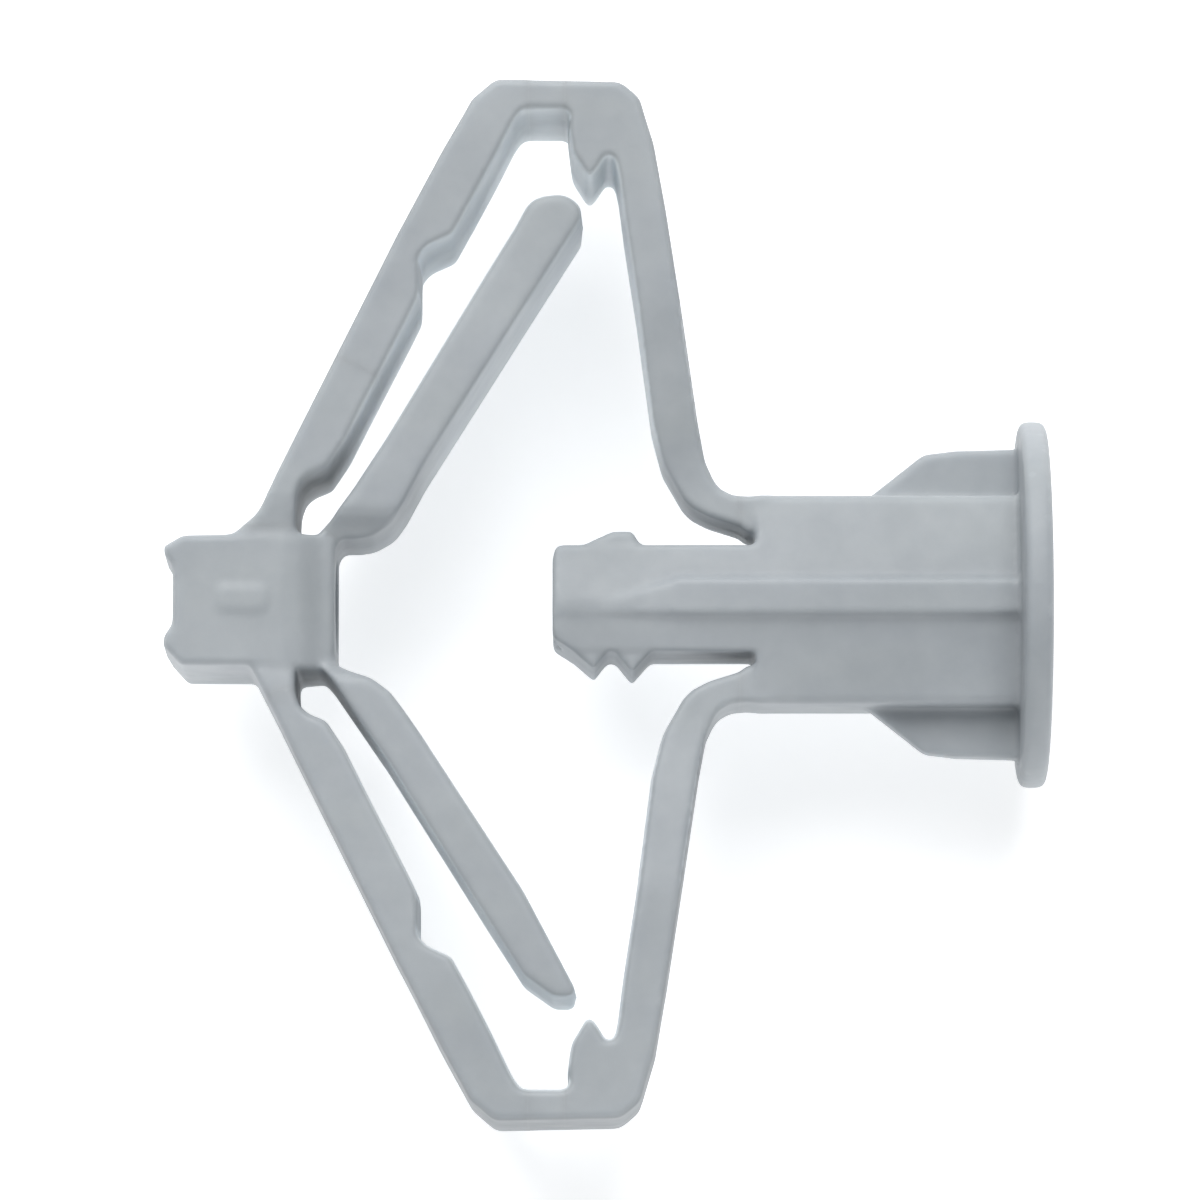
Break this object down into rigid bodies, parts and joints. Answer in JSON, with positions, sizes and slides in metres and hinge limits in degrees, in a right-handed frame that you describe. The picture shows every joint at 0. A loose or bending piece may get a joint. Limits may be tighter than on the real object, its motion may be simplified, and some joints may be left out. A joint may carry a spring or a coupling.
{
  "type": "plastic toggle anchor",
  "caption": "Moulded plastic hollow-wall anchor: flanged, finned collar and barbed stem, folding side wings on living hinges, and a nut block with brace fingers that the screw draws in.",
  "frame": {"origin": "on the screw axis, at the outer face of the flange", "axes": "+X along the screw axis and out through the flange, +Y along the wing span, +Z across the depth of the wings, up as the anchor lies flat"},
  "size_m": [0.0292, 0.0348, 0.0122],
  "materials": {
    "polymer": "satin, as moulded"
  },
  "bodies": {
    "collar": {"collar": "polymer"},
    "front_arm_a": {"front_arm_a": "polymer"},
    "front_arm_b": {"front_arm_b": "polymer"},
    "tip_strap_a": {"tip_strap_a": "polymer"},
    "tip_strap_b": {"tip_strap_b": "polymer"},
    "rear_arm_a": {"rear_arm_a": "polymer"},
    "rear_arm_b": {"rear_arm_b": "polymer"},
    "nut_block": {"nut_block": "polymer"},
    "finger_a": {"finger_a": "polymer"},
    "finger_b": {"finger_b": "polymer"}
  },
  "joints": [
    {"name": "fold", "type": "hinge", "parent": "collar", "child": "front_arm_a", "pos_m": [-0.0113, 0.0035, 0], "axis": [0, 0, 1], "range_deg": [-5, 77], "stiffness_Nm_per_rad": 0.02},
    {"name": "front_b", "type": "hinge", "parent": "collar", "child": "front_arm_b", "pos_m": [-0.0113, -0.0035, 0], "axis": [0, 0, 1], "range_deg": [-77, 5]},
    {"name": "strap_a", "type": "hinge", "parent": "front_arm_a", "child": "tip_strap_a", "pos_m": [-0.0161, 0.0169, 0], "axis": [0, 0, 1], "range_deg": [-100.56, 6.53]},
    {"name": "strap_b", "type": "hinge", "parent": "front_arm_b", "child": "tip_strap_b", "pos_m": [-0.0161, -0.0169, 0], "axis": [0, 0, 1], "range_deg": [-6.53, 100.56]},
    {"name": "rear_a", "type": "hinge", "parent": "tip_strap_a", "child": "rear_arm_a", "pos_m": [-0.0183, 0.0169, 0], "axis": [0, 0, 1], "range_deg": [-41.12, 2.67]},
    {"name": "rear_b", "type": "hinge", "parent": "tip_strap_b", "child": "rear_arm_b", "pos_m": [-0.0183, -0.0169, 0], "axis": [0, 0, 1], "range_deg": [-2.67, 41.12]},
    {"name": "nut", "type": "hinge", "parent": "rear_arm_a", "child": "nut_block", "pos_m": [-0.0253, 0.0032, 0], "axis": [0, 0, 1], "range_deg": [-4.2, 64.68]},
    {"name": "finger_a", "type": "hinge", "parent": "nut_block", "child": "finger_a", "pos_m": [-0.0238, 0.00195, 0], "axis": [0, 0, 1], "range_deg": [-60.52, 3.93]},
    {"name": "finger_b", "type": "hinge", "parent": "nut_block", "child": "finger_b", "pos_m": [-0.0238, -0.00195, 0], "axis": [0, 0, 1], "range_deg": [-3.93, 60.52]}
  ],
  "couplings": [
    {"joint": "front_b", "follows": "fold", "ratio": -1},
    {"joint": "strap_a", "follows": "fold", "ratio": -1.306},
    {"joint": "strap_b", "follows": "fold", "ratio": 1.306},
    {"joint": "rear_a", "follows": "fold", "ratio": -0.534},
    {"joint": "rear_b", "follows": "fold", "ratio": 0.534},
    {"joint": "nut", "follows": "fold", "ratio": 0.84},
    {"joint": "finger_a", "follows": "fold", "ratio": -0.786},
    {"joint": "finger_b", "follows": "fold", "ratio": 0.786}
  ]
}
